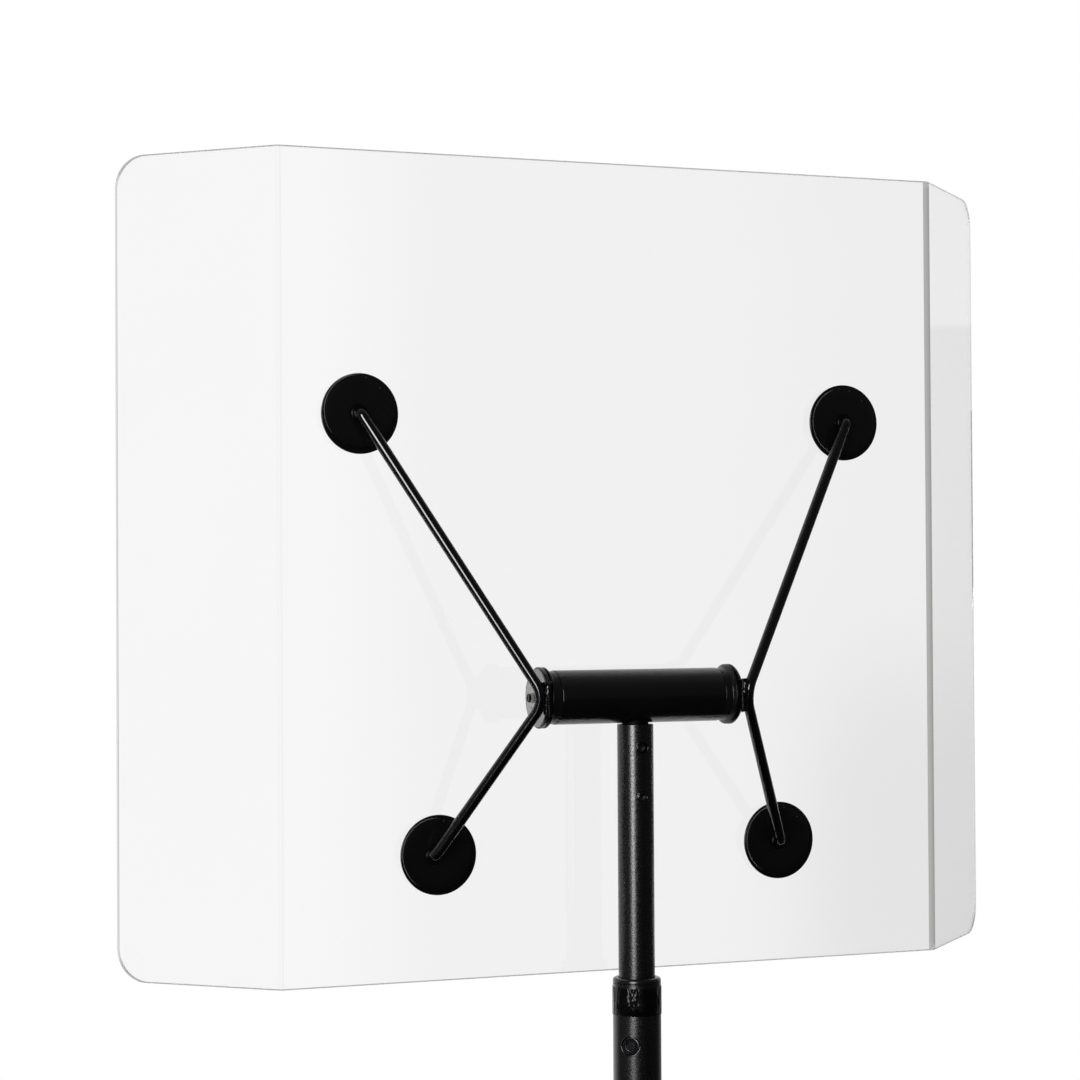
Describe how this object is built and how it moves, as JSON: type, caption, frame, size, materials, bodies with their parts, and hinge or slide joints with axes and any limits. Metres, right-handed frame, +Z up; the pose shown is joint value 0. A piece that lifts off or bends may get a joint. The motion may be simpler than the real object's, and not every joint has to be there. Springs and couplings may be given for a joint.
{
  "type": "acoustic screen",
  "caption": "Clear bent acrylic screen held by V-shaped rods on a tilting head, on a telescopic floor stand with a round base.",
  "frame": {"origin": "floor level, under the middle of the screen's width and of the base's depth", "axes": "+Z up, +X to the right as seen from the stand's side, +Y from the stand through the screen to the seated player"},
  "size_m": [0.5994, 0.33, 1.3747],
  "materials": {
    "textured_black": "black powder coat with a fine texture",
    "satin_black": "satin black paint",
    "gloss_black": "gloss black paint",
    "label_black": "glossy black film, left blank",
    "black_plastic": "matt black plastic",
    "black_rubber": "matt black rubber",
    "zinc": "bright zinc plate",
    "dark_zinc": "blackened steel",
    "clear_acrylic": "clear polished acrylic"
  },
  "bodies": {
    "stand": {"base_plate": "textured_black", "base_foot_1": "black_rubber", "base_foot_2": "black_rubber", "base_foot_3": "black_rubber", "base_foot_4": "black_rubber", "base_socket": "textured_black", "tube_foot_plug": "zinc", "base_washer": "zinc", "base_bolt": "zinc", "lower_tube": "textured_black", "label_band": "label_black", "top_bush": "black_plastic", "brake_shoe": "black_plastic", "brake_adjuster": "dark_zinc"},
    "slider": {"mast_guide": "black_plastic"},
    "mast": {"mast_tube": "textured_black", "neck_spigot": "satin_black", "neck_screw_upper": "dark_zinc", "neck_screw_lower": "dark_zinc", "mast_end_plug": "zinc", "guide_screw": "zinc", "cross_tube": "satin_black", "tilt_bush_left": "black_plastic", "tilt_bush_right": "black_plastic", "friction_washer_left": "black_plastic", "friction_washer_right": "black_plastic"},
    "screen": {"tilt_stud": "zinc", "arm_plate_left": "gloss_black", "arm_plate_right": "gloss_black", "end_washer_left": "zinc", "end_washer_right": "zinc", "tilt_nut_left": "zinc", "tilt_nut_right": "zinc", "v_rod_left": "gloss_black", "v_rod_right": "gloss_black", "disc_upper_left": "satin_black", "disc_upper_right": "satin_black", "disc_lower_left": "satin_black", "disc_lower_right": "satin_black", "bond_pad_upper_left": "black_rubber", "bond_pad_upper_right": "black_rubber", "bond_pad_lower_left": "black_rubber", "bond_pad_lower_right": "black_rubber", "weld_collar_upper_left": "gloss_black", "weld_collar_upper_right": "gloss_black", "weld_collar_lower_left": "gloss_black", "weld_collar_lower_right": "gloss_black", "acrylic_screen": "clear_acrylic"}
  },
  "joints": [
    {"name": "height", "type": "slide", "parent": "stand", "child": "slider", "axis": [0, 0, 1], "range_m": [-0.145, 0.4]},
    {"name": "swivel", "type": "hinge", "parent": "slider", "child": "mast", "pos_m": [-0.0076, 0, 1], "axis": [0, 0, 1], "continuous": true},
    {"name": "tilt", "type": "hinge", "parent": "mast", "child": "screen", "pos_m": [-0.0076, 0, 1.0454], "axis": [1, 0, 0], "range_deg": [-7, 90]}
  ]
}
